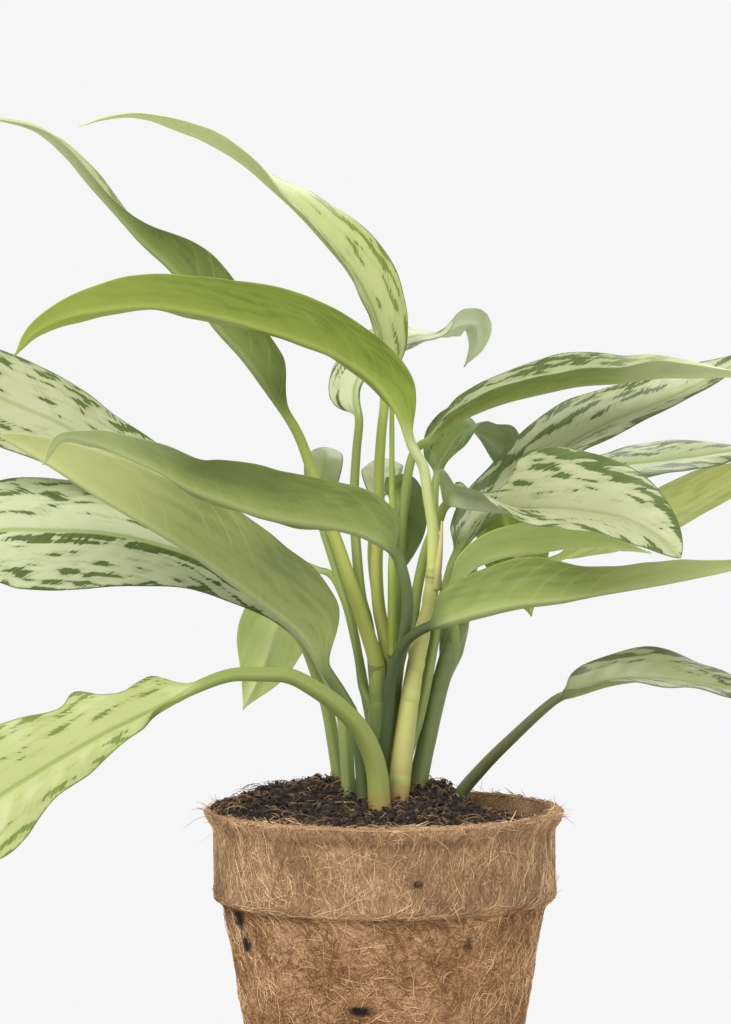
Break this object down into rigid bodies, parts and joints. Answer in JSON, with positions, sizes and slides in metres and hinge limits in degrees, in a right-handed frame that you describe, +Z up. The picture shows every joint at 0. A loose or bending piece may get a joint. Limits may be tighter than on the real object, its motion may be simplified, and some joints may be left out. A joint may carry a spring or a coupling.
{
  "type": "potted chinese evergreen",
  "caption": "House plant with long stalked variegated leaves on upright canes, standing in soil in a tapered pressed-coir pot with a collar.",
  "frame": {"origin": "centre of the underside of the pot", "axes": "+Z up along the pot's axis, +X to the right and -Y towards the viewer of the picture"},
  "size_m": [0.3534, 0.2213, 0.4015],
  "materials": {
    "coir": "matted pressed fibre, dull",
    "potting_soil": "crumbly, matte",
    "stem": "smooth, slightly glossy",
    "leaf": "waxy, satin, blotched pale and dark green"
  },
  "bodies": {
    "root": {"pot": "coir", "soil": "potting_soil", "cane_left": "stem", "cane_back": "stem", "cane_front": "stem", "cane_right": "stem", "leaf_rolled": "leaf", "leaf_top_left": "leaf", "leaf_top_centre": "leaf", "leaf_long_arch": "leaf", "leaf_back_top_right": "leaf", "leaf_right_high": "leaf", "leaf_right_upper": "leaf", "leaf_right_back_upper": "leaf", "leaf_right_back_lower": "leaf", "leaf_front_variegated": "leaf", "leaf_back_centre_right": "leaf", "leaf_back_hanging_right": "leaf", "leaf_right_middle": "leaf", "leaf_right_front_low": "leaf", "leaf_right_low": "leaf", "leaf_left_lowest": "leaf", "leaf_left_front": "leaf", "leaf_left_folded": "leaf", "leaf_left_variegated": "leaf", "leaf_left_high": "leaf", "leaf_left_hanging": "leaf", "leaf_back_left": "leaf", "leaf_back_centre": "leaf", "leaf_back_dark": "leaf"}
  },
  "joints": []
}
